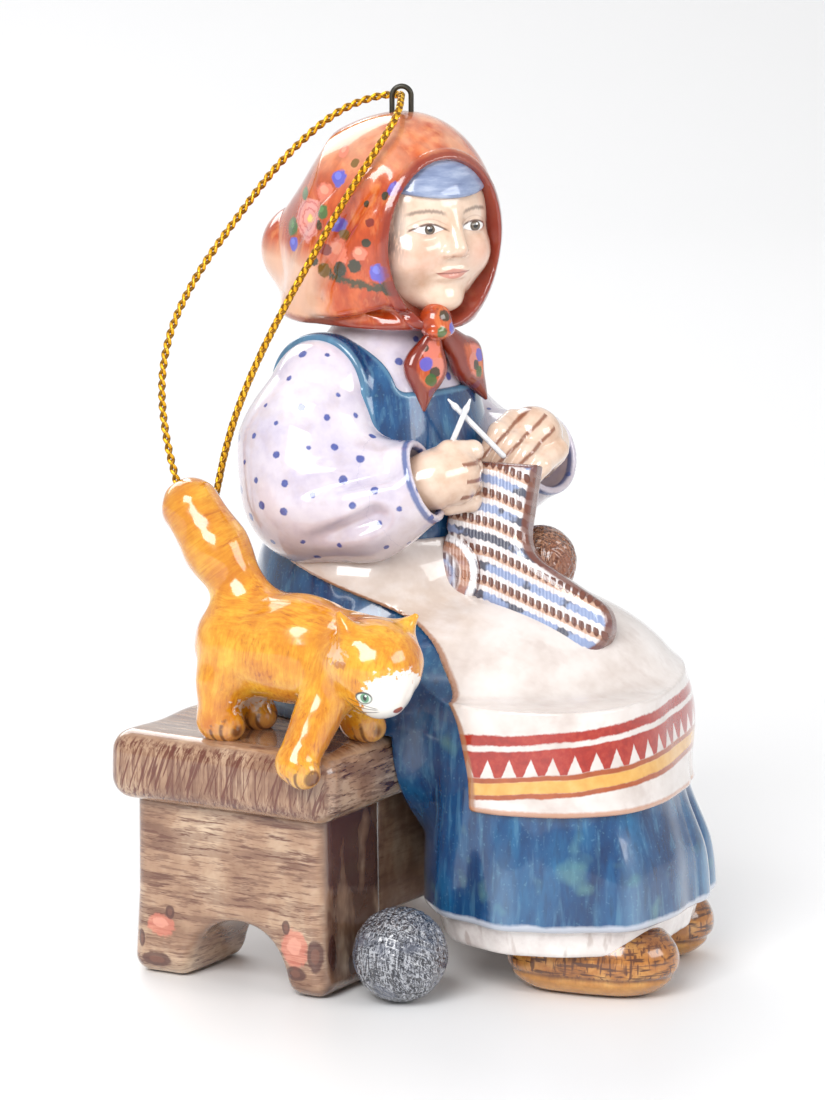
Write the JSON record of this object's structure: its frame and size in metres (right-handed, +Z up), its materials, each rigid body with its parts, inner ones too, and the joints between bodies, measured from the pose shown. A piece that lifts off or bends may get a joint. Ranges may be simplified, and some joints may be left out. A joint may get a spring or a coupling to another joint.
{
  "type": "souvenir figurine",
  "caption": "glazed ceramic ornament of a seated woman knitting a sock on a bench beside a cat, with a wire eyelet and a swinging cord loop",
  "frame": {"origin": "bottom centre of the box around the ceramic and its eyelet, without the cord, on the surface it stands on", "axes": "+Z up, -Y the way the woman's lap and shoes point, +X towards her left hand; the cat is at the -X end of the bench"},
  "size_m": [0.0558, 0.0582, 0.0944],
  "materials": {
    "painted_bench": "gloss",
    "painted_blue_pinafore": "gloss",
    "white_glaze": "gloss",
    "painted_apron": "gloss",
    "painted_blouse": "gloss",
    "painted_skin": "gloss",
    "painted_headscarf": "gloss",
    "painted_band": "gloss",
    "painted_knitting": "gloss",
    "needle_glaze": "gloss",
    "painted_brown_wool": "gloss",
    "painted_grey_wool": "gloss",
    "painted_shoes": "gloss",
    "painted_cat": "gloss",
    "eyelet_wire": "dark oxidised",
    "gold_braid": "metallic braid"
  },
  "bodies": {
    "figurine": {"apron": "painted_apron", "back_straps": "painted_blue_pinafore", "bench_far_leg": "painted_bench", "bench_front_rail": "painted_bench", "bench_near_leg": "painted_bench", "bench_seat": "painted_bench", "bib_and_straps": "painted_blue_pinafore", "brown_wool_ball": "painted_brown_wool", "cat_body": "painted_cat", "cat_far_foreleg": "painted_cat", "cat_far_hind_leg": "painted_cat", "cat_head": "painted_cat", "cat_near_foreleg": "painted_cat", "cat_near_hind_leg": "painted_cat", "cat_tail": "painted_cat", "grey_wool_ball": "painted_grey_wool", "head": "painted_skin", "headscarf": "painted_headscarf", "knitted_sock": "painted_knitting", "left_hand": "painted_skin", "left_needle": "needle_glaze", "left_shoe": "painted_shoes", "left_sleeve": "painted_blouse", "petticoat": "white_glaze", "right_hand": "painted_skin", "right_needle": "needle_glaze", "right_shoe": "painted_shoes", "right_sleeve": "painted_blouse", "scarf_end_left": "painted_headscarf", "scarf_end_right": "painted_headscarf", "scarf_knot": "painted_headscarf", "skirt": "painted_blue_pinafore", "torso": "painted_blouse", "underscarf_band": "painted_band", "wire_eyelet": "eyelet_wire"},
    "hanging_loop": {"hanging_cord": "gold_braid", "cord_knot": "gold_braid"}
  },
  "joints": [
    {"name": "loop_swing", "type": "hinge", "parent": "figurine", "child": "hanging_loop", "pos_m": [0.00787, 0.01082, 0.0931], "axis": [0.8572, 0.515, 0], "range_deg": [0, 150]}
  ]
}
